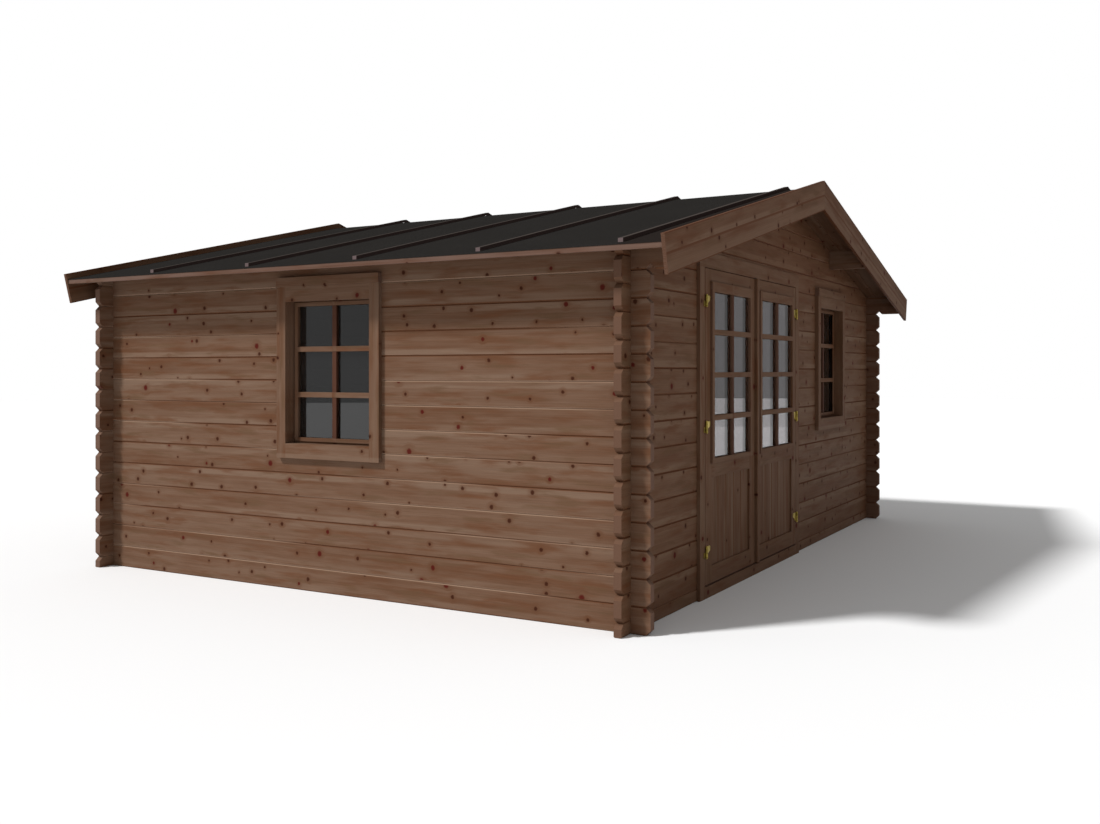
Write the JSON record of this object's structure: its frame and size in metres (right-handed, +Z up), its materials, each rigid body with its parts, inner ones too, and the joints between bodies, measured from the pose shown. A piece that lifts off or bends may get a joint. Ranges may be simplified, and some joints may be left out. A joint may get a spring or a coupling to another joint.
{
  "type": "wooden log cabin garden shed",
  "caption": "Gabled garden shed of interlocking notched logs with a glazed double door, barred windows, a felted roof with battens and deep bargeboards.",
  "frame": {"origin": "ground level under the middle of the roof's box", "axes": "+X along the door wall to the right as seen from the front, +Y from the front to the back, +Z up"},
  "size_m": [5.56, 4.43, 2.6756],
  "materials": {
    "wall_log": "brown stained pine logs",
    "joinery": "brown stained pine joinery",
    "roof_trim": "brown stained pine trim",
    "inner_board": "brown stained boards",
    "felted_batten": "dark stained battens",
    "felt": "mineral bitumen felt",
    "brass": "brass",
    "glass": "clear glass"
  },
  "bodies": {
    "shed": {"back_gable_logs": "wall_log", "back_left_bargeboard": "roof_trim", "back_right_bargeboard": "roof_trim", "back_wall_logs": "wall_log", "door_head": "joinery", "door_left_jamb": "joinery", "door_right_jamb": "joinery", "door_threshold": "joinery", "floor_bearers": "inner_board", "floor_boards": "inner_board", "front_gable_logs": "wall_log", "front_left_bargeboard": "roof_trim", "front_right_bargeboard": "roof_trim", "front_wall_left_logs": "wall_log", "front_wall_right_logs": "wall_log", "front_window_casing": "joinery", "front_window_glass": "glass", "front_window_lining": "joinery", "front_window_sash": "joinery", "left_door_hinge_pins": "brass", "left_eave_strip": "roof_trim", "left_roof_battens": "felted_batten", "left_roof_boards": "inner_board", "left_wall_logs": "wall_log", "right_door_hinge_pins": "brass", "right_eave_strip": "roof_trim", "right_roof_battens": "felted_batten", "right_roof_boards": "inner_board", "right_wall_logs": "wall_log", "roof_felt": "felt", "roof_purlins": "inner_board", "side_window_casing": "joinery", "side_window_glass": "glass", "side_window_lining": "joinery", "side_window_sash": "joinery"},
    "left_door": {"left_door_glass": "glass", "left_door_hinge_knuckles": "brass", "left_door_panel": "joinery", "left_door_rails": "joinery", "left_door_stiles": "joinery"},
    "right_door": {"right_door_cover_strip": "joinery", "right_door_glass": "glass", "right_door_hinge_knuckles": "brass", "right_door_panel": "joinery", "right_door_rails": "joinery", "right_door_stiles": "joinery"}
  },
  "joints": [
    {"name": "left_door_hinge", "type": "hinge", "parent": "shed", "child": "left_door", "pos_m": [-1.545, -1.9435, 1], "axis": [0, 0, -1], "range_deg": [0, 140]},
    {"name": "right_door_hinge", "type": "hinge", "parent": "shed", "child": "right_door", "pos_m": [0.239, -1.9435, 1], "axis": [0, 0, 1], "range_deg": [0, 140]}
  ]
}
